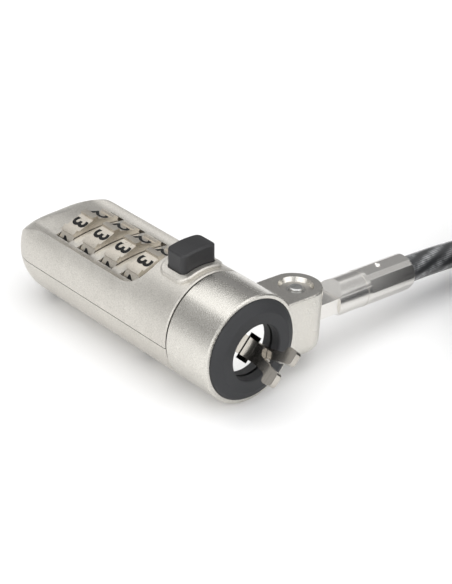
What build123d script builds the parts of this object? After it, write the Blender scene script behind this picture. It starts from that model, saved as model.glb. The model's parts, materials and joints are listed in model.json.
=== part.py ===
from build123d import *
import os
from math import atan2, cos, degrees, pi, radians, sin, sqrt, tan

# A laptop cable lock: a combination-lock head, a swivel collar with a hinged cable fitting, and a steel cable.
# The pieces are drawn about the lock's own axis: +Y runs from the nose to the tail, y = 0 is the collar's
# front face, the ear points towards +X and the button towards +Z. At the end everything is moved so that the
# origin lies under the middle of the lock head, on the surface that it stands on. All sizes are millimetres.

# --- driving dimensions -----------------------------------------------------------------------------------
COLLAR_R = 9.5
COLLAR_LENGTH = 9.75
FLOOR_Z = -COLLAR_R
BODY_R = 9.45
BODY_FRONT = 10.1
BODY_END = 53.2
TAIL_ROUND = 7.2
TAIL_TOP_ROUND = 6.8
PARTING_Z = -0.75
PARTING_GAP = 0.12
PLATEAU_Z = 5.4
PLATEAU_CROWN_R = 29.0
PLATEAU_FRONT = 18.9
PLATEAU_CORNER = 4.5
PLATEAU_RAMP = 2.4
TAIL_PLAN_ROUND = 12.3
TAIL_FORM_HALF_X = 14.8

DIAL_COUNT = 4
DIAL_R = 7.5
DIAL_WIDTH = 3.3
DIAL_PITCH = 5.73
FIRST_DIAL_FRONT = 22.15
DIAL_CHAMBER_R = DIAL_R + 0.15
DIAL_SIDE_GAP = 0.15
DIGITS = 10
FACET_APOTHEM = 6.85
RIB_WIDTH = 1.15
CLUTCH_R = 4.0
CLUTCH_BORE = 2.5
CLUTCH_GAP = 0.05

HUB_R = 7.35
HUB_END = 12.0
RUNNING_GAP = 0.06
FLANGE_R = 8.6
FLANGE_FRONT = 0.4
FLANGE_BACK = 2.2
COUNTERBORE_R = 8.8
CORE_BORE = 4.6
NOSE_FACE = 0.65
NOSE_PLATE_R = 6.0
NOSE_PLATE_THICKNESS = 1.2
WASHER_R = 8.74
WASHER_HOLE = 4.85
WASHER_FRONT = -1.3

EAR_DIP = 4.7
EAR_END_X = 13.3
EAR_MID_Y = 4.5
EAR_END_R = 4.45
EAR_TOP = 5.55
EAR_BOTTOM = -5.9
TONGUE_HALF = 2.7
TONGUE_Z0 = -0.85
TONGUE_Z1 = 1.85
TONGUE_GAP = 0.12
RIVET_R = 1.5
FITTING_Z = 0.5
NECK_R = 3.15
NECK_START = 21.0
NECK_TAPER_END = 22.6
FERRULE_START = 27.9
FERRULE_END = 38.8
FERRULE_R = 3.2
FERRULE_APOTHEM = 3.0

BUTTON_HALF_X = 3.5
BUTTON_Y0 = 12.2
BUTTON_Y1 = 16.7
BUTTON_TOP = 13.05
BUTTON_TRAVEL = 1.7
BEZEL_HALF_X = 4.6
BEZEL_Y0 = 11.0
BEZEL_Y1 = 17.9
BEZEL_CROWN_R = 10.05
CHAMBER_HALF_X = 4.6
CHAMBER_TOP = 6.1
CHAMBER_END = 18.9

SPINDLE_R = 1.2
SPINDLE_FRONT = 12.15
SPINDLE_END = 44.2
CAM_PIN_Y = 15.97
CAM_PIN_R = 0.8
SPRING_X = 3.2

JAW_PIVOT_U = -3.0
JAW_LINK_U = -8.15
JAW_CLOSE = 6.0
JAW_THICKNESS = 1.25
JAW_GAP = 0.05

CABLE_R = 2.35
COIL_CENTRE_X = 71.0
COIL_OUTER_TURN = 33.0
COIL_TURN_STEP = 4.75
COIL_TURNS_ACROSS = 4
COIL_LAYERS = 3
SLEEVE_LENGTH = 10.0
SLEEVE_WALL = 1.0


# --- plain shapes -----------------------------------------------------------------------------------------
def rod(radius, y0, y1, x=0.0, z=0.0):
    """A round bar along Y."""
    return Pos(x, (y0 + y1) / 2, z) * Rot(90, 0, 0) * Cylinder(radius, y1 - y0)


def post(radius, x, y, z0, z1):
    """A round bar along Z."""
    return Pos(x, y, (z0 + z1) / 2) * Cylinder(radius, z1 - z0)


def block(x0, x1, y0, y1, z0, z1):
    """A box between two corners."""
    return Pos((x0 + x1) / 2, (y0 + y1) / 2, (z0 + z1) / 2) * Box(x1 - x0, y1 - y0, z1 - z0)


def turned(*outline):
    """An outline of (radius, y) points turned about the Y axis."""
    face = make_face(Polyline(*[(radius, y, 0) for radius, y in outline], close=True))
    return revolve(face, Axis.Y)


def rounded_block(x0, x1, y0, y1, z0, z1, corner):
    """A box whose four upright edges are rounded."""
    return fillet(block(x0, x1, y0, y1, z0, z1).edges().filter_by(Axis.Z), corner)


def coil_spring(mean_r, wire_r, length, turns):
    """A compression spring that stands on z = 0."""
    path = Helix(pitch=(length - 2 * wire_r) / turns, height=length - 2 * wire_r, radius=mean_r)
    section = Plane(origin=path @ 0, z_dir=path % 0) * Circle(wire_r)
    return Pos(0, 0, wire_r) * sweep(section, path=path, is_frenet=True)


def in_collar_frame(piece):
    """Turn a piece drawn level about the lock axis, so that the ear dips with the collar."""
    return Rot(0, EAR_DIP, 0) * piece


# --- collar, ear and cable fitting ------------------------------------------------------------------------
def tongue_room():
    """The space in the ear that the tongue sweeps as it swings from +X to +Y."""
    half = TONGUE_HALF + TONGUE_GAP
    z0, z1 = TONGUE_Z0 - TONGUE_GAP, TONGUE_Z1 + TONGUE_GAP
    reach = 2 * EAR_END_R
    along_x = block(EAR_END_X, EAR_END_X + reach, EAR_MID_Y - half, EAR_MID_Y + reach, z0, z1)
    along_y = block(EAR_END_X - half, EAR_END_X + reach, EAR_MID_Y, EAR_MID_Y + reach, z0, z1)
    return along_x + along_y + post(half, EAR_END_X, EAR_MID_Y, z0, z1)


def make_collar():
    ring = rod(COLLAR_R, 0, COLLAR_LENGTH)
    ring = chamfer(ring.edges().group_by(Axis.Y)[0], 0.22)
    ring = chamfer(ring.edges().group_by(Axis.Y)[-1], 0.18)
    ear_half = EAR_END_R
    root = block(5.0, EAR_END_X, EAR_MID_Y - ear_half, EAR_MID_Y + ear_half, EAR_BOTTOM, EAR_TOP)
    ear = root + post(ear_half, EAR_END_X, EAR_MID_Y, EAR_BOTTOM, EAR_TOP)
    ear = fillet(ear.edges().group_by(Axis.Z)[0].filter_by(GeomType.CIRCLE), 2.2)
    ear = fillet(ear.edges().group_by(Axis.Z)[-1].filter_by(GeomType.CIRCLE), 0.25)
    ear -= tongue_room()
    ear -= post(RIVET_R + 0.03, EAR_END_X, EAR_MID_Y, EAR_BOTTOM - 1, EAR_TOP + 1)
    sink = Pos(EAR_END_X, EAR_MID_Y, EAR_TOP - 0.35) * Cone(2.6, 3.0, 0.8)
    ear -= sink
    collar = ring + in_collar_frame(ear)
    collar -= rod(HUB_R + RUNNING_GAP, -1, COLLAR_LENGTH + 1)
    collar -= rod(COUNTERBORE_R, -1, FLANGE_BACK + 0.15)
    return collar


def make_rivet():
    shank = post(RIVET_R, EAR_END_X, EAR_MID_Y, EAR_BOTTOM + 0.5, EAR_TOP - 0.75)
    head = post(1.25, EAR_END_X, EAR_MID_Y, EAR_TOP - 0.9, EAR_TOP - 0.25)
    head = fillet(head.edges().group_by(Axis.Z)[-1], 0.3)
    return in_collar_frame(shank + head)


def bar_along_x(radius, x0, x1):
    """A round bar on the fitting's own axis."""
    return Pos((x0 + x1) / 2, EAR_MID_Y, FITTING_Z) * Rot(0, 90, 0) * Cylinder(radius, x1 - x0)


def make_fitting():
    tongue = block(EAR_END_X, NECK_START + 1.2, EAR_MID_Y - TONGUE_HALF, EAR_MID_Y + TONGUE_HALF,
                   TONGUE_Z0, TONGUE_Z1)
    tongue += post(TONGUE_HALF, EAR_END_X, EAR_MID_Y, TONGUE_Z0, TONGUE_Z1)
    neck = bar_along_x(NECK_R, NECK_START, FERRULE_START + 0.5)
    for side, tongue_z in ((1, TONGUE_Z1), (-1, TONGUE_Z0)):
        rise = side * (NECK_R + 0.6)
        slope = Polyline((NECK_START - 0.5, tongue_z), (NECK_START, tongue_z),
                         (NECK_TAPER_END, FITTING_Z + side * NECK_R),
                         (NECK_TAPER_END, FITTING_Z + rise), (NECK_START - 0.5, FITTING_Z + rise), close=True)
        face = Plane(origin=(0, EAR_MID_Y, 0), x_dir=(1, 0, 0), z_dir=(0, -1, 0)) * make_face(slope)
        neck -= extrude(face, amount=NECK_R + 1, both=True)
    ferrule = bar_along_x(FERRULE_R, FERRULE_START - 0.3, FERRULE_END)
    ferrule = fillet(ferrule.edges().group_by(Axis.X)[-1], 0.5)
    flats = Pos((FERRULE_START + FERRULE_END) / 2 + 1.0, EAR_MID_Y, FITTING_Z) * Rot(35, 0, 0) * Rot(0, 90, 0) * (
        extrude(RegularPolygon(FERRULE_APOTHEM, 6, major_radius=False), FERRULE_END - FERRULE_START, both=True))
    crimped = ferrule & (flats + bar_along_x(FERRULE_R + 1, FERRULE_START - 1, FERRULE_START + 0.5))
    fitting = tongue + neck + crimped
    fitting -= post(RIVET_R + 0.06, EAR_END_X, EAR_MID_Y, TONGUE_Z0 - 1, TONGUE_Z1 + 1)
    fitting -= Pos(32.3, EAR_MID_Y, FITTING_Z + FERRULE_APOTHEM + 0.45) * Sphere(0.8)
    return in_collar_frame(fitting)


# --- nose -------------------------------------------------------------------------------------------------
JAW_PLANE = Plane(origin=(0, NOSE_FACE, 0), x_dir=(1, 0, 1), z_dir=(1, 0, -1))
JAW_AXIS = Axis((0, NOSE_FACE, 0), (1, 0, -1))


def jaw_point(spread, forward, across=0.0):
    """A point given along the jaws' spread, forward of the nose plate, and across their thickness."""
    return JAW_PLANE.from_local_coords(Vector(spread, forward, across))


def slab(outline, across0, across1):
    """A flat plate in the jaws' plane, from a list of (spread, forward) points."""
    face = make_face(Polyline(*outline, close=True))
    return JAW_PLANE * (Pos(0, 0, across0) * extrude(face, across1 - across0))


def jaw_box(spread, forward0, forward1, across0, across1):
    """A box centred on the jaws' axis."""
    outline = [(-spread, forward0), (spread, forward0), (spread, forward1), (-spread, forward1)]
    return slab(outline, across0, across1)


def jaw_pin(radius, forward, reach):
    """A round pin across both jaws."""
    return JAW_PLANE * (Pos(0, forward, 0) * Cylinder(radius, 2 * reach))


def make_jaw(side):
    """One of the two hooked plates that spread behind the slot. side is -1 or +1."""
    blade = [(1.6, 0.0), (1.35, 3.3), (0.0, 4.05), (-0.75, 6.9), (-1.0, 8.7), (-3.45, 8.7), (-3.6, 6.5),
             (-2.25, 6.4), (-1.75, 4.0), (-1.6, 0.0), (-1.6, -1.6), (-2.2, -2.2), (-2.2, -11.4), (2.2, -11.4),
             (2.2, -2.2), (1.6, -1.6)]
    outline = [(-side * spread, forward) for spread, forward in blade]
    inner = side * JAW_GAP
    outer = side * (JAW_GAP + JAW_THICKNESS)
    jaw = slab(outline, min(inner, outer), max(inner, outer))
    foot = [edge for edge in jaw.edges().filter_by(JAW_AXIS) if edge.center().Y < NOSE_FACE - 6.0]
    jaw = fillet(foot, 0.7)
    jaw -= jaw_pin(0.8, JAW_PIVOT_U, 3)
    rest = JAW_LINK_U - JAW_PIVOT_U
    drawn = rest - BUTTON_TRAVEL
    slot_ends = [(0.0, rest + 0.3), (side * drawn * sin(radians(JAW_CLOSE)), drawn * cos(radians(JAW_CLOSE)) - 0.3)]
    (x0, y0), (x1, y1) = slot_ends
    slot = Pos((x0 + x1) / 2, JAW_PIVOT_U + (y0 + y1) / 2, 0) * Rot(0, 0, degrees(atan2(y1 - y0, x1 - x0)))
    slot_length = sqrt((x1 - x0) ** 2 + (y1 - y0) ** 2)
    jaw -= JAW_PLANE * (slot * extrude(SlotCenterToCenter(slot_length, 1.3), 3, both=True))
    return jaw


def make_core():
    core = rod(FLANGE_R, FLANGE_FRONT, FLANGE_BACK) + rod(HUB_R, FLANGE_BACK, HUB_END)
    core += rod(7.9, 10.8, 11.6)
    core -= rod(NOSE_PLATE_R + 0.05, FLANGE_FRONT - 1, NOSE_FACE + NOSE_PLATE_THICKNESS)
    core -= rod(CORE_BORE, FLANGE_FRONT, HUB_END + 1)
    core -= jaw_pin(0.77, JAW_PIVOT_U, 6.4)
    return core


def make_nose_plate():
    plate = rod(NOSE_PLATE_R, NOSE_FACE, NOSE_FACE + NOSE_PLATE_THICKNESS)
    return plate - jaw_box(2.35, -3, 3, -1.5, 1.5)


def make_washer():
    washer = turned((WASHER_HOLE, FLANGE_FRONT), (WASHER_R, FLANGE_FRONT), (WASHER_R, -0.15), (8.35, -0.62),
                    (7.0, WASHER_FRONT), (WASHER_HOLE, WASHER_FRONT))
    bends = [edge for edge in washer.edges().filter_by(GeomType.CIRCLE)
             if edge.center().Y < 0 and 6.5 < edge.radius < 9]
    washer = fillet(bends, 0.45)
    mouth = [edge for edge in washer.edges().filter_by(GeomType.CIRCLE)
             if edge.center().Y < -1 and edge.radius < 5]
    return fillet(mouth, 0.35)


# --- lock body --------------------------------------------------------------------------------------------
def dial_front(index):
    return FIRST_DIAL_FRONT + index * DIAL_PITCH


def body_outside():
    body = rod(BODY_R, BODY_FRONT, BODY_END)
    body = fillet(body.edges().group_by(Axis.Y)[-1], TAIL_ROUND)
    body = chamfer(body.edges().group_by(Axis.Y)[0], 0.2)
    cutter = block(-8.4, 8.4, PLATEAU_FRONT, BODY_END + 6, 0, PLATEAU_Z + 8)
    front_corners = [edge for edge in cutter.edges().filter_by(Axis.Z) if edge.center().Y < PLATEAU_FRONT + 1]
    cutter = fillet(front_corners, PLATEAU_CORNER)
    cutter -= rod(PLATEAU_CROWN_R, 0, BODY_END + 10, 0, PLATEAU_Z - PLATEAU_CROWN_R)
    ramp = [edge for edge in cutter.edges()
            if edge.center().Y < PLATEAU_FRONT + PLATEAU_CORNER and edge.center().Z < PLATEAU_Z + 0.5
            and edge.bounding_box().size.Z < 3]
    cutter = fillet(ramp, PLATEAU_RAMP)
    body -= cutter
    tail_y, tail_z = BODY_END - TAIL_TOP_ROUND, PLATEAU_Z - TAIL_TOP_ROUND
    form = block(-TAIL_FORM_HALF_X, TAIL_FORM_HALF_X, 10, BODY_END, -20, PLATEAU_Z + 0.03)
    upright = [edge for edge in form.edges().filter_by(Axis.Z) if edge.center().Y > BODY_END - 1]
    form = fillet(upright, TAIL_PLAN_ROUND)
    rolled = [edge for edge in form.edges().group_by(Axis.Z)[-1] if edge.center().Y > 11]
    form = fillet(rolled, TAIL_TOP_ROUND)
    body -= block(-12, 12, tail_y - 9, BODY_END + 5, tail_z, 20) - form
    bezel = rounded_block(-BEZEL_HALF_X, BEZEL_HALF_X, BEZEL_Y0, BEZEL_Y1, 4.0, 12.0, 1.9)
    bezel &= rod(BEZEL_CROWN_R, BEZEL_Y0 - 1, BEZEL_Y1 + 1)
    bezel = fillet(bezel.edges().group_by(Axis.Z)[-1] + bezel.faces().sort_by(Axis.Z)[-1].edges(), 0.3)
    return body + bezel


def body_cavity():
    """Everything that is hollow in both shells."""
    cavity = rod(HUB_R + 0.05, BODY_FRONT - 1, HUB_END + 0.1) + rod(8.0, 10.7, 11.7)
    chamber = block(-CHAMBER_HALF_X, CHAMBER_HALF_X, HUB_END, CHAMBER_END, -8, CHAMBER_TOP)
    cavity += chamber & rod(7.9, HUB_END, CHAMBER_END)
    cavity += rounded_block(-BUTTON_HALF_X - 0.12, BUTTON_HALF_X + 0.12, BUTTON_Y0 - 0.12, BUTTON_Y1 + 0.12,
                            CHAMBER_TOP - 1, 14, 1.1)
    cavity += rod(2.7, CHAMBER_END - 1, 49.95)
    for index in range(DIAL_COUNT):
        front = dial_front(index)
        cavity += rod(DIAL_CHAMBER_R, front - DIAL_SIDE_GAP, front + DIAL_WIDTH + DIAL_SIDE_GAP)
    cavity += rod(2.3, 49.9, BODY_END + 1)
    return cavity


SCREW_PLACES = [(-4.5, 20.4), (4.5, 20.4), (-4.5, 45.8), (4.5, 45.8)]


def screw(x, y, room=0.0):
    """A countersunk case screw that goes up from the lower shell, or with room the hole that it needs."""
    head_z = -sqrt(BODY_R ** 2 - x ** 2) + 1.0
    shank = post(0.7 + room, x, y, head_z, 3.0)
    head = Pos(x, y, head_z + 0.4) * Cone(1.25 + room, 0.7 + room, 0.8)
    below = post(1.25 + room, x, y, head_z - 3, head_z)
    if room:
        return shank + head + below
    recess = Pos(x, y, head_z + 0.2) * (Box(1.7, 0.35, 0.6) + Box(0.35, 1.7, 0.6))
    return shank + head - recess


def make_shells():
    body = body_outside() - body_cavity()
    for x, y in SCREW_PLACES:
        body -= screw(x, y, 0.05)
    cut_upper = block(-20, 20, 0, 70, PARTING_Z + PARTING_GAP / 2, 30)
    cut_lower = block(-20, 20, 0, 70, -30, PARTING_Z - PARTING_GAP / 2)
    upper = body & cut_upper
    lower = body & cut_lower
    lower -= block(-1.7, 1.7, 21.7, 43.3, -8.6, -7.2)
    for x in (-SPRING_X, SPRING_X):
        lower += post(1.0, x, 13.7, -7.8, PARTING_Z - PARTING_GAP / 2)
    return upper, lower


def make_dial(index):
    """A number wheel: ten digit flats with a raised rib between each two."""
    front = dial_front(index)
    middle = front + DIAL_WIDTH / 2
    flats = extrude(RegularPolygon(FACET_APOTHEM, DIGITS, major_radius=False), DIAL_WIDTH / 2, both=True)
    step = 360 / DIGITS
    wheel = Rot(0, 0, 90) * flats
    for rib in range(DIGITS):
        wheel += Rot(0, 0, 90 + rib * step) * (Pos(FACET_APOTHEM - 0.4, 0, 0) * Box(2.4, RIB_WIDTH, DIAL_WIDTH))
    wheel &= Cylinder(DIAL_R, DIAL_WIDTH)
    wheel = Pos(0, middle, 0) * Rot(90, 0, 0) * wheel
    return wheel - rod(CLUTCH_R + CLUTCH_GAP, front - 1, front + DIAL_WIDTH + 1)


def make_clutch(index):
    """The code sleeve inside a dial, with the gate that the spindle's tooth must line up with."""
    front = dial_front(index)
    back = front + DIAL_WIDTH
    sleeve = rod(CLUTCH_R, front, back) - rod(CLUTCH_BORE, front - 1, back + 1)
    lip = rod(CLUTCH_BORE + 0.1, back - 0.5, back) - rod(SPINDLE_R + 0.25, front, back + 1)
    lip -= block(-0.65, 0.65, front, back + 1, 0, 2.8)
    return sleeve + lip


def make_spindle():
    spindle = rod(SPINDLE_R, SPINDLE_FRONT, SPINDLE_END) + rod(2.0, SPINDLE_END, SPINDLE_END + 0.8)
    spindle += rod(2.05, SPINDLE_FRONT, SPINDLE_FRONT + 0.6)
    for side in (-1, 1):
        blade = sorted((side * 1.42, side * 2.0))
        spindle += jaw_box(0.9, NOSE_FACE - SPINDLE_FRONT - 0.3, JAW_LINK_U + 1.0, blade[0], blade[1])
    for index in range(DIAL_COUNT):
        tooth = dial_front(index) + 0.3
        spindle += block(-0.5, 0.5, tooth, tooth + 0.6, 0.5, 2.25)
    cam_pin = Pos(0, CAM_PIN_Y, 0) * Rot(0, 90, 0) * Cylinder(CAM_PIN_R, 4.4)
    spindle += cam_pin
    return spindle - jaw_pin(0.5, JAW_LINK_U, 3)


def make_button():
    cap = rounded_block(-BUTTON_HALF_X, BUTTON_HALF_X, BUTTON_Y0, BUTTON_Y1, 5.0, BUTTON_TOP + 1, 1.0)
    crown_r = 16.0
    cap &= rod(crown_r, BUTTON_Y0 - 1, BUTTON_Y1 + 1, 0, BUTTON_TOP - crown_r)
    cap = fillet(cap.faces().sort_by(Axis.Z)[-1].edges(), 0.35)
    cap += block(-4.3, 4.3, 12.5, 16.5, 5.0, CHAMBER_TOP - 0.12)
    ramp_y, leg_y0, leg_y1 = 14.6, 15.0, 16.9
    leg = Polyline((leg_y0, 5.5), (leg_y1, 5.5), (leg_y1, leg_y1 - ramp_y), (leg_y0, leg_y0 - ramp_y), close=True)
    face = Plane.YZ * make_face(leg)
    for side in (-1, 1):
        cap += Pos(side * 1.85, 0, 0) * extrude(face, 0.4, both=True)
    return cap


def make_button_springs():
    length = 5.0 - (PARTING_Z - PARTING_GAP / 2)
    spring = coil_spring(0.72, 0.16, length - 0.04, 7)
    return [Pos(x, 13.7, PARTING_Z - PARTING_GAP / 2 + 0.02) * spring for x in (-SPRING_X, SPRING_X)]


def make_spindle_spring():
    start = SPINDLE_END + 0.85
    return Pos(0, start, 0) * Rot(-90, 0, 0) * coil_spring(1.6, 0.2, 49.9 - start, 5)


def make_detent_spring():
    leaf = block(-1.5, 1.5, 22.0, 43.0, -8.55, -8.3)
    for index in range(DIAL_COUNT):
        middle = dial_front(index) + DIAL_WIDTH / 2
        leaf += Pos(0, middle, -8.35) * Rot(0, 90, 0) * Cylinder(0.6, 2.4)
    return leaf & block(-2, 2, 21, 46, -8.56, -7)


def make_reset_screw():
    screw_body = rod(2.2, 50.0, BODY_END - 0.15)
    screw_body = chamfer(screw_body.edges().group_by(Axis.Y)[-1], 0.2)
    return screw_body - block(-1.7, 1.7, BODY_END - 1.0, BODY_END, -0.35, 0.35)


# --- cable ------------------------------------------------------------------------------------------------
CABLE_FLOOR_Z = FLOOR_Z + CABLE_R
COIL_CENTRE_Y = EAR_MID_Y - COIL_OUTER_TURN
COIL_HEIGHT = COIL_LAYERS * COIL_TURN_STEP
COIL_OUTSIDE = COIL_OUTER_TURN + COIL_TURN_STEP / 2
COIL_INSIDE = COIL_OUTER_TURN - (COIL_TURNS_ACROSS - 0.5) * COIL_TURN_STEP
LOOP_Z = FLOOR_Z + COIL_HEIGHT + CABLE_R + SLEEVE_WALL + 0.15
BARREL_HALF = 2.5
SLEEVE_X = -19.3
LOOP_AXIS_Y = 13.8
SLEEVE_Y = LOOP_AXIS_Y + BARREL_HALF

# The straight way out of the fitting, then down to the surface and into the coil.
LEAD_ROUTE = [(38.71, 4.5, -2.68), (50.1, 4.5, -3.62), (59.0, 4.6, -6.1), (67.2, 4.5, -7.0)]
# Off the top of the coil, through the sleeve, round the loop and back into the sleeve, from the coil's centre.
LOOP_ROUTE = [(-33.0, -16.0, -5.8), (-34.2, -1.5, -1.4), (-32.0, 10.3, 0.0), (-24.6, SLEEVE_Y, 0.0),
              (-6.5, SLEEVE_Y, 0.0), (0.9, 19.6, 0.0), (9.6, 26.6, 0.0), (18.5, 29.6, 0.0), (27.4, 26.6, 0.0),
              (33.0, 18.7, 0.0), (33.0, 8.9, 0.0), (27.4, 1.0, 0.0), (18.5, -2.0, 0.0), (9.6, 1.0, 0.0),
              (0.9, 8.0, 0.0), (-6.5, LOOP_AXIS_Y - BARREL_HALF, 0.0),
              (SLEEVE_X - 0.8, LOOP_AXIS_Y - BARREL_HALF, 0.0)]


def route_radii(points):
    """The largest radius that each corner of a route has room for."""
    radii = []
    for before, corner, after in zip(points, points[1:], points[2:]):
        run_in = Vector(*corner) - Vector(*before)
        run_out = Vector(*after) - Vector(*corner)
        half_turn = radians(run_in.get_angle(run_out)) / 2
        radii.append(0.45 * min(run_in.length, run_out.length) / tan(half_turn))
    return radii


def cable_tube(name, points):
    """Straight runs of cable joined by arcs, with its radii and length printed."""
    radii = route_radii(points)
    path = FilletPolyline(*points, radius=radii)
    section = Plane(origin=path @ 0, z_dir=path % 0) * Circle(CABLE_R)
    tube = sweep(section, path=path)
    print(name, "radii", [round(radius, 1) for radius in radii], "length", round(path.length, 1),
          "volume ratio", round(tube.volume / (path.length * pi * CABLE_R ** 2), 4))
    return tube


def loop_route():
    return [(COIL_CENTRE_X + x, COIL_CENTRE_Y + y, LOOP_Z + z) for x, y, z in LOOP_ROUTE]


def make_coil():
    ring = post(COIL_OUTSIDE, COIL_CENTRE_X, COIL_CENTRE_Y, FLOOR_Z, FLOOR_Z + COIL_HEIGHT)
    ring -= post(COIL_INSIDE, COIL_CENTRE_X, COIL_CENTRE_Y, FLOOR_Z - 1, FLOOR_Z + COIL_HEIGHT + 1)
    return fillet(ring.edges(), 2.0)


def make_sleeve():
    """The double-barrelled sleeve pressed on both strands of the loop."""
    radius = CABLE_R + SLEEVE_WALL
    x = COIL_CENTRE_X + SLEEVE_X + SLEEVE_LENGTH / 2
    y = COIL_CENTRE_Y + SLEEVE_Y - BARREL_HALF
    outline = SlotCenterToCenter(2 * BARREL_HALF, 2 * radius)
    outline -= Pos(-BARREL_HALF, 0) * Circle(CABLE_R + 0.03)
    outline -= Pos(BARREL_HALF, 0) * Circle(CABLE_R + 0.03)
    standing = Plane(origin=(x, y, LOOP_Z), x_dir=(0, 1, 0), z_dir=(1, 0, 0))
    sleeve = extrude(standing * outline, SLEEVE_LENGTH / 2, both=True)
    return sleeve


def make_tie():
    """The strap that holds the coil together, round all its turns on the side away from the lock."""
    height = COIL_HEIGHT
    half_width = 5.0
    gap, thick = 0.3, 1.1
    width = COIL_OUTSIDE - COIL_INSIDE
    x = COIL_CENTRE_X
    y = COIL_CENTRE_Y - (COIL_OUTSIDE + COIL_INSIDE) / 2
    outer = fillet(Box(2 * half_width, width + 2 * (gap + thick), height + gap + thick).edges().filter_by(Axis.X), 3.0)
    inner = fillet(Box(2 * half_width + 2, width + 2 * gap, height + gap).edges().filter_by(Axis.X), 2.2)
    strap = Pos(0, 0, (gap + thick) / 2) * outer - Pos(0, 0, gap / 2) * inner
    floor_cut = Pos(0, 0, -height / 2 - 5) * Box(40, 60, 10)
    return Pos(x, y, FLOOR_Z + height / 2) * (strap - floor_cut)


# --- assembly ---------------------------------------------------------------------------------------------
def make_head():
    upper, lower = make_shells()
    pieces = {
        "upper_shell": upper,
        "lower_shell": lower,
        "core_barrel": make_core(),
        "nose_plate": make_nose_plate(),
        "rubber_washer": make_washer(),
        "jaw_pivot_pin": jaw_pin(0.75, JAW_PIVOT_U, 6.2),
        "jaw_1": make_jaw(-1),
        "jaw_2": make_jaw(1),
        "jaw_link_pin": jaw_pin(0.48, JAW_LINK_U, 2.1),
        "spindle": make_spindle(),
        "spindle_spring": make_spindle_spring(),
        "push_button": make_button(),
        "button_springs": Compound(children=make_button_springs()),
        "detent_spring": make_detent_spring(),
        "reset_screw": make_reset_screw(),
        "case_screws": Compound(children=[screw(x, y) for x, y in SCREW_PLACES]),
        "swivel_collar": make_collar(),
        "rivet_pin": make_rivet(),
        "cable_fitting": make_fitting(),
    }
    for index in range(DIAL_COUNT):
        pieces[f"dial_{index + 1}"] = make_dial(index)
        pieces[f"clutch_{index + 1}"] = make_clutch(index)
    return pieces


def make_cord():
    return {
        "cable_lead": cable_tube("cable_lead", LEAD_ROUTE),
        "cable_coil": make_coil(),
        "cable_loop": cable_tube("cable_loop", loop_route()),
        "loop_sleeve": make_sleeve(),
        "coil_tie": make_tie(),
    }


head = make_head()
head_box = Compound(children=[piece.moved(Location()) for piece in head.values()]).bounding_box()
ORIGIN = (head_box.center().X, head_box.center().Y, FLOOR_Z)
to_origin = Pos(-ORIGIN[0], -ORIGIN[1], -ORIGIN[2])

os.makedirs("parts", exist_ok=True)
for name, piece in {**head, **make_cord()}.items():
    export_step(to_origin * piece, f"parts/{name}.step")
print("origin", [round(value, 4) for value in ORIGIN])
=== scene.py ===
import json
from math import cos, pi, radians, sin

import bpy
from mathutils import Matrix, Vector


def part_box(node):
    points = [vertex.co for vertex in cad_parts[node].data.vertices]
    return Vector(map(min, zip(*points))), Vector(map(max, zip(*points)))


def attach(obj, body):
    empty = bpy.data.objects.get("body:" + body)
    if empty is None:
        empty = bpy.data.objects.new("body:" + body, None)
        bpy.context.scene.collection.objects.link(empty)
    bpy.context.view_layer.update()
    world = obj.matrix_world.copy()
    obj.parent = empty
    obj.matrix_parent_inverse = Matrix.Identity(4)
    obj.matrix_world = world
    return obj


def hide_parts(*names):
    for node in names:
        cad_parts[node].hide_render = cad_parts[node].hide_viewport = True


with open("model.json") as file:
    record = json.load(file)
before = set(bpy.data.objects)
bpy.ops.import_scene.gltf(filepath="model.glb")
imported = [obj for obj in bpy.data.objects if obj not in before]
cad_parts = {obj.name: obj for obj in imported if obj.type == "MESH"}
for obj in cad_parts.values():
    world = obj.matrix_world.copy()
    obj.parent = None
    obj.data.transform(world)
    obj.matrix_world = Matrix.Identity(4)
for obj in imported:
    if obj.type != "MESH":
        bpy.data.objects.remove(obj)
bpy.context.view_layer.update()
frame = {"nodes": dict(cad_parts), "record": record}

MM = 0.001
washer_low, washer_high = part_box("rubber_washer")
collar_low, collar_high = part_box("swivel_collar")
AXIS_X = (washer_low[0] + washer_high[0]) / 2
AXIS_Z = (washer_low[2] + washer_high[2]) / 2
FRONT_Y = collar_low[1]


def at(x, y, z):
    """A point in millimetres from the lock's axis at the collar's front face."""
    return Vector((AXIS_X + x * MM, FRONT_Y + y * MM, AXIS_Z + z * MM))


def add_object(name, data):
    made = bpy.data.objects.new(name, data)
    bpy.context.scene.collection.objects.link(made)
    return made


# --- camera ---------------------------------------------------------------------------------
VIEW_TURN = radians(41.28)
VIEW_DROP = radians(31.17)
VIEW_DISTANCE = 322.4
VIEW_ASIDE = 4.01
VIEW_ABOVE = 9.09
LENS = 125.9
SENSOR = 36
NEAR_CLIP, FAR_CLIP = 0.01, 20


def make_camera():
    right = Vector((cos(VIEW_TURN), -sin(VIEW_TURN), 0))
    level = cos(VIEW_DROP)
    forward = Vector((sin(VIEW_TURN) * level, cos(VIEW_TURN) * level, -sin(VIEW_DROP)))
    up = right.cross(forward)
    place = -(right * VIEW_ASIDE - up * VIEW_ABOVE + forward * VIEW_DISTANCE)
    data = bpy.data.cameras.new("camera")
    data.lens = LENS
    data.sensor_width = SENSOR
    data.clip_start, data.clip_end = NEAR_CLIP, FAR_CLIP
    camera = add_object("camera", data)
    axes = Matrix((right, up, -forward)).transposed().to_4x4()
    camera.matrix_world = Matrix.Translation(at(*place)) @ axes
    bpy.context.scene.camera = camera


make_camera()

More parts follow.
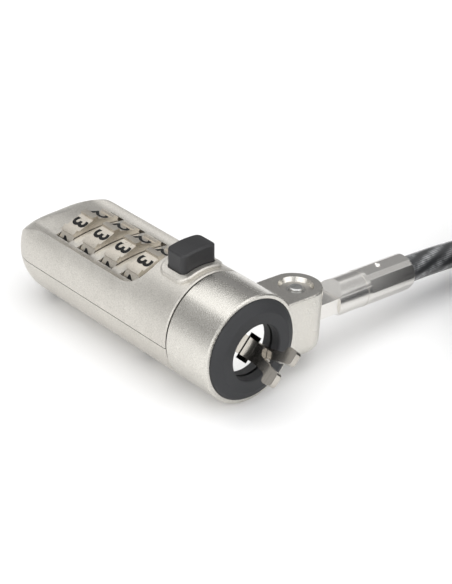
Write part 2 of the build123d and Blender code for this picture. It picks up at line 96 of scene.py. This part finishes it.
# --- cable ----------------------------------------------------------------------------------
CABLE_R = 2.35
CABLE_SMOOTHNESS = 6
COIL_CENTRE = (71.0, -28.5)
FLOOR_LEVEL = -9.5
TURN_STEP = 4.75
TURN_POINTS = 16
LAYER_TURNS = [[33.0, 28.25, 23.5, 18.75], [21.1, 25.9, 30.6], [23.5, 28.25, 33.0]]
LAST_TURN_SHARE = 0.62
CHANGE_START = 0.72
LEAD_ROUTE = [(38.71, 4.5, -2.68), (50.1, 4.5, -3.62), (59.0, 4.6, -6.1)]
# From the coil's centre and the loop's level: off the coil, through the sleeve, round and back.
LOOP_LEVEL = 8.25
LOOP_ROUTE = [(-33.0, -16.0, -5.8), (-34.2, -1.5, -1.4), (-32.0, 10.3, 0.0), (-24.6, 16.3, 0.0),
              (-6.5, 16.3, 0.0), (0.9, 19.6, 0.0), (9.6, 26.6, 0.0), (18.5, 29.6, 0.0),
              (27.4, 26.6, 0.0), (33.0, 18.7, 0.0), (33.0, 8.9, 0.0), (27.4, 1.0, 0.0),
              (18.5, -2.0, 0.0), (9.6, 1.0, 0.0), (0.9, 8.0, 0.0), (-6.5, 11.3, 0.0),
              (-20.1, 11.3, 0.0)]


def coil_points():
    """Control points of the turns, layer on layer, each turn easing into the next."""
    turns = [(radius, layer) for layer, radii in enumerate(LAYER_TURNS) for radius in radii]
    bottom = FLOOR_LEVEL + CABLE_R
    # A control point stands a little outside the round turn that its spline makes.
    outset = 1 / cos(pi / TURN_POINTS)
    points = []
    for index, (radius, layer) in enumerate(turns):
        last = index == len(turns) - 1
        next_radius, next_layer = turns[index] if last else turns[index + 1]
        count = round(TURN_POINTS * LAST_TURN_SHARE) if last else TURN_POINTS
        for step in range(count):
            share = step / TURN_POINTS
            ease = max(0.0, (share - CHANGE_START) / (1 - CHANGE_START))
            ease = ease * ease * (3 - 2 * ease)
            turn_radius = (radius + (next_radius - radius) * ease) * outset
            level = bottom + (layer + (next_layer - layer) * ease) * TURN_STEP
            angle = pi / 2 - 2 * pi * share
            points.append((COIL_CENTRE[0] + turn_radius * cos(angle),
                           COIL_CENTRE[1] + turn_radius * sin(angle), level))
    return points


def loop_points():
    return [(COIL_CENTRE[0] + x, COIL_CENTRE[1] + y, LOOP_LEVEL + z) for x, y, z in LOOP_ROUTE]


def make_cable():
    points = [at(*point) for point in LEAD_ROUTE + coil_points() + loop_points()]
    data = bpy.data.curves.new("steel_cable", "CURVE")
    data.dimensions = "3D"
    data.bevel_depth = CABLE_R * MM
    data.bevel_resolution = CABLE_SMOOTHNESS
    data.resolution_u = CABLE_SMOOTHNESS
    data.use_fill_caps = True
    spline = data.splines.new("NURBS")
    spline.points.add(len(points) - 1)
    for knot, point in zip(spline.points, points):
        knot.co = (*point, 1)
    spline.order_u = 3
    spline.use_endpoint_u = True
    return add_object("steel_cable", data)


cable = make_cable()


# --- shader helpers -------------------------------------------------------------------------
class Value:
    """A shader socket for use in Python expressions; each operation adds a Math node."""

    def __init__(self, finish, socket):
        self.finish = finish
        self.socket = socket

    def maths(self, operation, *others, **settings):
        inputs = {0: self}
        inputs.update({index + 1: other for index, other in enumerate(others)})
        return self.finish.node("ShaderNodeMath", {"operation": operation, **settings}, inputs)

    def __add__(self, other):
        return self.maths("ADD", other)

    def __sub__(self, other):
        return self.maths("SUBTRACT", other)

    def __mul__(self, other):
        return self.maths("MULTIPLY", other)

    def __rsub__(self, other):
        return (self * -1) + other

    __radd__ = __add__
    __rmul__ = __mul__

    def sine(self):
        return self.maths("SINE")

    def above(self, edge):
        return self.maths("GREATER_THAN", edge)

    def clamped(self):
        return self.maths("ADD", 0.0, use_clamp=True)

    def contrast(self, gain):
        return ((self - 0.5) * gain + 0.5).clamped()

    def wave(self):
        """A sine brought between 0 and 1."""
        return self.sine() * 0.5 + 0.5


class Finish:
    """One material or world, with its nodes made through one method."""

    def __init__(self, tree):
        self.tree = tree
        tree.nodes.clear()

    def node(self, kind, settings=None, inputs=None, output=0):
        made = self.tree.nodes.new(kind)
        for name, value in (settings or {}).items():
            if name == "stops":
                self.set_stops(made.color_ramp.elements, value)
            else:
                setattr(made, name, value)
        for name, value in (inputs or {}).items():
            if isinstance(value, Value):
                self.tree.links.new(value.socket, made.inputs[name])
            else:
                made.inputs[name].default_value = value
        return Value(self, made.outputs[output]) if made.outputs else None

    def set_stops(self, ramp, stops):
        """A grey ramp from (place, brightness) pairs."""
        while len(ramp) < len(stops):
            ramp.new(0.5)
        for stop, (place, grey) in zip(ramp, stops):
            stop.position = place
            stop.color = shade(grey, grey, grey)

    def place(self, output):
        return self.node("ShaderNodeTexCoord", output=output)

    def parts(self, vector):
        """The three numbers of a vector."""
        first = self.node("ShaderNodeSeparateXYZ", inputs={"Vector": vector})
        return [Value(self, socket) for socket in first.socket.node.outputs]

    def dot(self, vector, direction):
        return self.node("ShaderNodeVectorMath", {"operation": "DOT_PRODUCT"},
                         {0: vector, 1: direction}, output=1)

    def noise(self, scale, detail, place=None):
        place = place or self.place("Object")
        return self.node("ShaderNodeTexNoise",
                         inputs={"Vector": place, "Scale": scale, "Detail": detail})

    def mixed(self, share, first, second):
        return self.node("ShaderNodeMix", {"data_type": "RGBA"},
                         {0: share, 6: first, 7: second}, output=2)

    def bump(self, height, strength, distance):
        return self.node("ShaderNodeBump",
                         inputs={"Height": height, "Strength": strength, "Distance": distance})

    def surface(self, **inputs):
        named = {name.replace("_", " "): value for name, value in inputs.items()}
        shader = self.node("ShaderNodeBsdfPrincipled", inputs=named)
        self.node("ShaderNodeOutputMaterial", inputs={"Surface": shader})


def material(name):
    made = bpy.data.materials.new(name)
    made.use_nodes = True
    return made, Finish(made.node_tree)


def shade(red, green, blue):
    return (red, green, blue, 1.0)


# --- finishes -------------------------------------------------------------------------------
# Noise scales are in cells per metre, bump distances in metres.
CLOUD_SCALE = 150.0
PLATE_RELIEF = 0.00004
# Painted shade for the collar ear's upward flat: the darker speckled colours it takes, and how
# squarely a face must point that way to take them.
TOP_SHADE_LIGHT = shade(0.46, 0.445, 0.42)
TOP_SHADE_DARK = shade(0.30, 0.29, 0.275)
TOP_SHADE_FACING = 0.997


def plated_metal(name, light, dark, roughness, spread, grain, relief, shaded_side=None):
    """Nickel plate with a fine speckle and uneven gloss; faces towards the given side get painted
    shade, darker colours and more roughness.
    """
    made, finish = material(name)
    speckle = finish.noise(grain, 2.0).contrast(2.0)
    cloud = finish.noise(CLOUD_SCALE, 3.0).contrast(1.6)
    tint = finish.mixed((speckle * 0.7 + cloud * 0.3).clamped(), dark, light)
    gloss = (speckle - 0.5) * spread + (cloud - 0.5) * (spread * 0.8) + roughness
    if shaded_side:
        # Painted shade: faces that point towards the given side take the darker colours, and they
        # also get more roughness.
        top_shade_mask = finish.dot(finish.place("Normal"), shaded_side).above(TOP_SHADE_FACING)
        tint = finish.mixed(top_shade_mask, tint, finish.mixed(speckle, TOP_SHADE_DARK, TOP_SHADE_LIGHT))
        gloss = gloss + top_shade_mask * 0.2
    finish.surface(Base_Color=tint, Metallic=1.0, Roughness=gloss,
                   Normal=finish.bump(speckle, relief, PLATE_RELIEF))
    return made


TURNING_MARKS = (300.0, 4500.0, 300.0)


def brushed_metal(name, light, dark, roughness):
    """Turned or ground steel with fine marks round its axis."""
    made, finish = material(name)
    stretched = finish.node("ShaderNodeMapping",
                            inputs={"Vector": finish.place("Object"), "Scale": TURNING_MARKS})
    marks = finish.noise(1.0, 3.0, stretched)
    tint = finish.mixed(marks, dark, light)
    finish.surface(Base_Color=tint, Metallic=1.0, Roughness=(marks - 0.5) * 0.2 + roughness,
                   Normal=finish.bump(marks, 0.12, 0.00003))
    return made


def moulded_black(name, colour, worn, roughness, grain, relief):
    """Black plastic or rubber with a fine mould texture and slightly greyer high spots."""
    made, finish = material(name)
    fine = finish.noise(grain, 2.0)
    cloud = finish.noise(180.0, 2.0)
    tint = finish.mixed((fine * 0.6 + cloud * 0.4).clamped(), colour, worn)
    finish.surface(Base_Color=tint, Roughness=(fine - 0.5) * 0.16 + roughness,
                   Normal=finish.bump(fine, relief, 0.00005))
    return made


# Turns over the cable's whole length, and how many strands and wires are counted round it.
STRAND_TURNS = 75.0
STRANDS = 6.0
WIRES = 44.0


def jacketed_strand(name):
    """Clear smoky jacket over steel strands that wind round the cable."""
    made, finish = material(name)
    along, around, _ = finish.parts(finish.place("UV"))
    strands = ((along * STRAND_TURNS + around) * (2 * pi) * STRANDS).wave()
    wires = ((along * (STRAND_TURNS * STRANDS) + around * WIRES) * (2 * pi)).wave()
    glint = finish.noise(900.0, 3.0).contrast(3.0)
    steel = (strands.maths("POWER", 1.6) * (wires * 0.6 + 0.3) * (glint * 0.9 + 0.25)).clamped()
    tint = finish.mixed(steel, shade(0.018, 0.019, 0.021), shade(0.50, 0.51, 0.52))
    finish.surface(Base_Color=tint, Metallic=steel * 0.6, Roughness=0.5 - steel * 0.15,
                   Coat_Weight=1.0, Coat_Roughness=0.06, Coat_IOR=1.5)
    return made


THREAD_PITCH = 0.0007


def woven_strap(name):
    """Black woven hook-and-loop strap."""
    made, finish = material(name)
    x, y, z = finish.parts(finish.place("Object"))
    per_thread = 2 * pi / THREAD_PITCH
    weave = (x * per_thread).sine() * ((y + z) * per_thread).sine() * 0.5 + 0.5
    fuzz = finish.noise(2600.0, 3.0)
    tint = finish.mixed((weave * 0.5 + fuzz * 0.5).clamped(),
                        shade(0.008, 0.008, 0.009), shade(0.05, 0.05, 0.055))
    finish.surface(Base_Color=tint, Roughness=0.9, Sheen_Weight=0.3,
                   Normal=finish.bump(weave + fuzz, 0.6, 0.0001))
    return made


# The collar's ear dips by this much, so its flat top doesn't face straight up.
EAR_DIP = radians(4.7)
EAR_TOP_FACING = (sin(EAR_DIP), 0.0, cos(EAR_DIP))

SATIN_NICKEL = plated_metal("satin_nickel_plate", shade(0.78, 0.755, 0.705),
                            shade(0.47, 0.45, 0.41), 0.44, 0.14, 5200.0, 0.25)
# The collar's nickel has painted shade on its ear's upward-facing flat.
COLLAR_NICKEL = plated_metal("collar_nickel_plate", shade(0.80, 0.78, 0.73),
                             shade(0.50, 0.48, 0.44), 0.25, 0.10, 5200.0, 0.18, EAR_TOP_FACING)
DIAL_NICKEL = plated_metal("dial_nickel_plate", shade(0.76, 0.71, 0.63),
                           shade(0.58, 0.535, 0.465), 0.32, 0.12, 6000.0, 0.25)
BRIGHT_NICKEL = plated_metal("bright_nickel_plate", shade(0.84, 0.82, 0.79),
                             shade(0.76, 0.74, 0.71), 0.24, 0.04, 5200.0, 0.05)
CHROME = plated_metal("mirror_chrome", shade(0.92, 0.92, 0.91), shade(0.84, 0.84, 0.83),
                      0.05, 0.03, 2500.0, 0.02)
JAW_STEEL = brushed_metal("jaw_steel", shade(0.60, 0.57, 0.52), shade(0.36, 0.335, 0.30), 0.16)
TURNED_STEEL = brushed_metal("turned_steel", shade(0.62, 0.62, 0.61), shade(0.40, 0.40, 0.39), 0.3)
SPRING_WIRE = brushed_metal("spring_wire", shade(0.5, 0.5, 0.5), shade(0.3, 0.3, 0.3), 0.35)
BUTTON_BLACK = moulded_black("button_plastic", shade(0.010, 0.010, 0.011),
                             shade(0.022, 0.022, 0.024), 0.42, 4200.0, 0.25)
WASHER_RUBBER = moulded_black("washer_rubber", shade(0.012, 0.0125, 0.014),
                              shade(0.026, 0.027, 0.030), 0.62, 3000.0, 0.3)
DIGIT_PAINT = moulded_black("digit_paint", shade(0.001, 0.001, 0.001),
                            shade(0.004, 0.004, 0.004), 0.85, 5000.0, 0.1)
CABLE_JACKET = jacketed_strand("clear_jacket_over_strands")
STRAP_WEAVE = woven_strap("strap_weave")

FINISH_OF_SLOT = {
    "satin_nickel": SATIN_NICKEL,
    "dial_nickel": DIAL_NICKEL,
    "bright_nickel": BRIGHT_NICKEL,
    "polished_chrome": CHROME,
    "plated_jaw": JAW_STEEL,
    "machined_steel": TURNED_STEEL,
    "spring_steel": SPRING_WIRE,
    "black_plastic": BUTTON_BLACK,
    "black_rubber": WASHER_RUBBER,
    "cable_jacket": CABLE_JACKET,
    "tie_strap": STRAP_WEAVE,
}


def dress_frame():
    """Each CAD piece takes the finish of its record slot, and the collar its own."""
    slot_of = {part["node"]: part["material_slot"] for part in frame["record"]["subparts"]}
    for name, piece in frame["nodes"].items():
        finish = COLLAR_NICKEL if name == "swivel_collar" else FINISH_OF_SLOT[slot_of[name]]
        for place in piece.material_slots:
            place.material = finish


dress_frame()


# --- numbers on the dials -------------------------------------------------------------------
DIALS = 4
DIGITS = 10
FACET_APOTHEM = 6.85
DIGIT_SIZE = 4.2
DIGIT_DEPTH = 0.035
DIGIT_BOLDNESS = 0.11
SHOWN_DIGIT = 3


def digit_mesh(digit):
    """One numeral as a thin solid, centred on its own origin."""
    text = bpy.data.curves.new(f"numeral_{digit}", "FONT")
    text.body = str(digit)
    text.size = DIGIT_SIZE * MM
    text.extrude = DIGIT_DEPTH * MM
    text.offset = DIGIT_BOLDNESS * MM
    text.align_x = "CENTER"
    text.align_y = "CENTER"
    holder = add_object(f"numeral_{digit}", text)
    bpy.context.view_layer.update()
    shaped = holder.evaluated_get(bpy.context.evaluated_depsgraph_get())
    mesh = bpy.data.meshes.new_from_object(shaped)
    bpy.data.objects.remove(holder)
    xs = [corner.co.x for corner in mesh.vertices]
    ys = [corner.co.y for corner in mesh.vertices]
    middle = Vector(((min(xs) + max(xs)) / 2, (min(ys) + max(ys)) / 2, 0))
    mesh.transform(Matrix.Translation(-middle))
    return mesh


def digit_stand(digit, middle_y):
    """Where a numeral lies: on the middle of its flat, with its top towards the nose."""
    step = 2 * pi / DIGITS
    angle = step * (digit - SHOWN_DIGIT + 0.5)
    outward = Vector((-sin(angle), 0, cos(angle)))
    across = Vector((-cos(angle), 0, -sin(angle)))
    upward = Vector((0, -1, 0))
    place = Vector((AXIS_X, middle_y, AXIS_Z)) + outward * FACET_APOTHEM * MM
    axes = Matrix((across, upward, outward)).transposed().to_4x4()
    return Matrix.Translation(place) @ axes


def make_numerals(dial):
    """The ten numerals of one dial, as one piece."""
    low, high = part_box(f"dial_{dial}")
    vertices, faces = [], []
    for digit in range(DIGITS):
        stand = digit_stand(digit, (low[1] + high[1]) / 2)
        mesh = digit_mesh(digit)
        first = len(vertices)
        vertices += [stand @ corner.co for corner in mesh.vertices]
        faces += [[first + corner for corner in face.vertices] for face in mesh.polygons]
        bpy.data.meshes.remove(mesh)
    data = bpy.data.meshes.new(f"numerals_{dial}")
    data.from_pydata(vertices, [], faces)
    data.materials.append(DIGIT_PAINT)
    numerals = add_object(f"numerals_{dial}", data)
    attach(numerals, f"dial_{dial}")


for dial in range(1, DIALS + 1):
    make_numerals(dial)


# --- strap round the coil -------------------------------------------------------------------
STRAP_HALF_WIDTH = 4.6
STRAP_THICKNESS = 0.9
STRAP_CORNER = 2.6
STRAP_INSIDE, STRAP_OUTSIDE = 15.9, 35.8
STRAP_BOTTOM = FLOOR_LEVEL + 0.55
STRAP_TOP = FLOOR_LEVEL + len(LAYER_TURNS) * TURN_STEP + 0.45
STRAP_COLUMNS = [-1.0, -0.93, -0.5, 0.0, 0.5, 0.93, 1.0]
EDGE_SAG = 0.06
CORNER_STEPS = 6


def strap_outline():
    """The strap's path round the coil's section, as (distance from the coil's centre, level)."""
    corners = [(STRAP_OUTSIDE, STRAP_BOTTOM, -90), (STRAP_OUTSIDE, STRAP_TOP, 0),
               (STRAP_INSIDE, STRAP_TOP, 90), (STRAP_INSIDE, STRAP_BOTTOM, 180)]
    points = []
    for radius, level, start in corners:
        middle_r = radius + (STRAP_CORNER if radius == STRAP_INSIDE else -STRAP_CORNER)
        middle_z = level + (STRAP_CORNER if level == STRAP_BOTTOM else -STRAP_CORNER)
        for step in range(CORNER_STEPS + 1):
            angle = radians(start + 90 * step / CORNER_STEPS)
            points.append((middle_r + STRAP_CORNER * cos(angle),
                           middle_z + STRAP_CORNER * sin(angle)))
    return points


def make_strap():
    """A closed band of cloth round the turns, thicker than a sheet and soft at its edges."""
    outline = strap_outline()
    vertices = []
    for radius, level in outline:
        for column in STRAP_COLUMNS:
            sag = EDGE_SAG if abs(column) == 1.0 else 0.0
            x = COIL_CENTRE[0] + column * STRAP_HALF_WIDTH
            vertices.append(at(x, COIL_CENTRE[1] - radius, level - sag))
    wide, tall = len(STRAP_COLUMNS), len(outline)
    faces = []
    for row in range(tall):
        here, after = row * wide, (row + 1) % tall * wide
        for column in range(wide - 1):
            faces.append((here + column, here + column + 1, after + column + 1, after + column))
    data = bpy.data.meshes.new("coil_strap")
    data.from_pydata(vertices, [], faces)
    data.materials.append(STRAP_WEAVE)
    for face in data.polygons:
        face.use_smooth = True
    strap = add_object("coil_strap", data)
    skin = strap.modifiers.new("thickness", "SOLIDIFY")
    skin.thickness = STRAP_THICKNESS * MM
    skin.offset = 0
    smooth = strap.modifiers.new("rounding", "SUBSURF")
    smooth.levels = 1
    smooth.render_levels = 1
    return strap


strap = make_strap()
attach(strap, "cable")
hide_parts("coil_tie")

cable.data.materials.append(CABLE_JACKET)
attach(cable, "cable")
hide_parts("cable_lead", "cable_coil", "cable_loop")
tuple(at(*LEAD_ROUTE[0]))


# --- studio ---------------------------------------------------------------------------------
FLOOR_SIZE = 6.0
FLOOR_GAP = 0.0001
# (height of the direction looked in, brightness), for the half of the room before and behind.
ROOM_BEFORE = [(0.0, 0.8), (0.5, 0.95), (0.6, 0.85), (0.7, 0.5), (0.8, 0.85), (1.0, 0.9)]
ROOM_BEHIND = [(0.0, 0.6), (0.5, 0.55), (0.6, 0.28), (0.78, 0.3), (1.0, 0.9)]


def make_floor():
    half = FLOOR_SIZE / 2
    level = AXIS_Z + FLOOR_LEVEL * MM - FLOOR_GAP
    corners = [(-half, -half, level), (half, -half, level), (half, half, level), (-half, half, level)]
    data = bpy.data.meshes.new("studio_floor")
    data.from_pydata(corners, [], [(0, 1, 2, 3)])
    made, finish = material("studio_paper")
    tint = finish.mixed(finish.noise(40.0, 2.0), shade(0.93, 0.93, 0.93), shade(0.96, 0.96, 0.96))
    finish.surface(Base_Color=tint, Roughness=0.9)
    data.materials.append(made)
    add_object("studio_floor", data)


def make_world():
    """A pale room, with a darker wall behind the object for the upward faces to reflect."""
    world = bpy.data.worlds.new("studio")
    bpy.context.scene.world = world
    world.use_nodes = True
    finish = Finish(world.node_tree)
    direction = finish.place("Generated")
    height = finish.parts(direction)[2] * 0.5 + 0.5
    behind = finish.dot(direction, (sin(VIEW_TURN), cos(VIEW_TURN), 0.0)) * 1.6 + 0.3
    before = finish.node("ShaderNodeValToRGB", {"stops": ROOM_BEFORE}, {0: height})
    after = finish.node("ShaderNodeValToRGB", {"stops": ROOM_BEHIND}, {0: height})
    tone = finish.mixed(behind.clamped(), before, after)
    sky = finish.node("ShaderNodeBackground", inputs={"Color": tone, "Strength": 1.0})
    finish.node("ShaderNodeOutputWorld", inputs={"Surface": sky})


def make_light(name, place, target, size, power):
    """A soft rectangular lamp that faces target."""
    data = bpy.data.lights.new(name, "AREA")
    data.shape = "RECTANGLE"
    data.size, data.size_y = size
    data.energy = power
    light = add_object(name, data)
    light.location = Vector(place)
    light.rotation_euler = (Vector(target) - Vector(place)).to_track_quat("-Z", "Y").to_euler()


make_floor()
make_world()
make_light("overhead", (0.05, 0.12, 0.75), (0.0, 0.02, 0.0), (1.1, 0.9), 3.2)
make_light("left_front", (-0.62, -0.18, 0.30), (0.0, 0.0, 0.01), (0.8, 0.6), 1.8)
make_light("front", (0.18, -0.62, 0.32), (0.0, 0.0, 0.01), (0.7, 0.5), 1.4)
bpy.context.scene.view_settings.view_transform = "Standard"
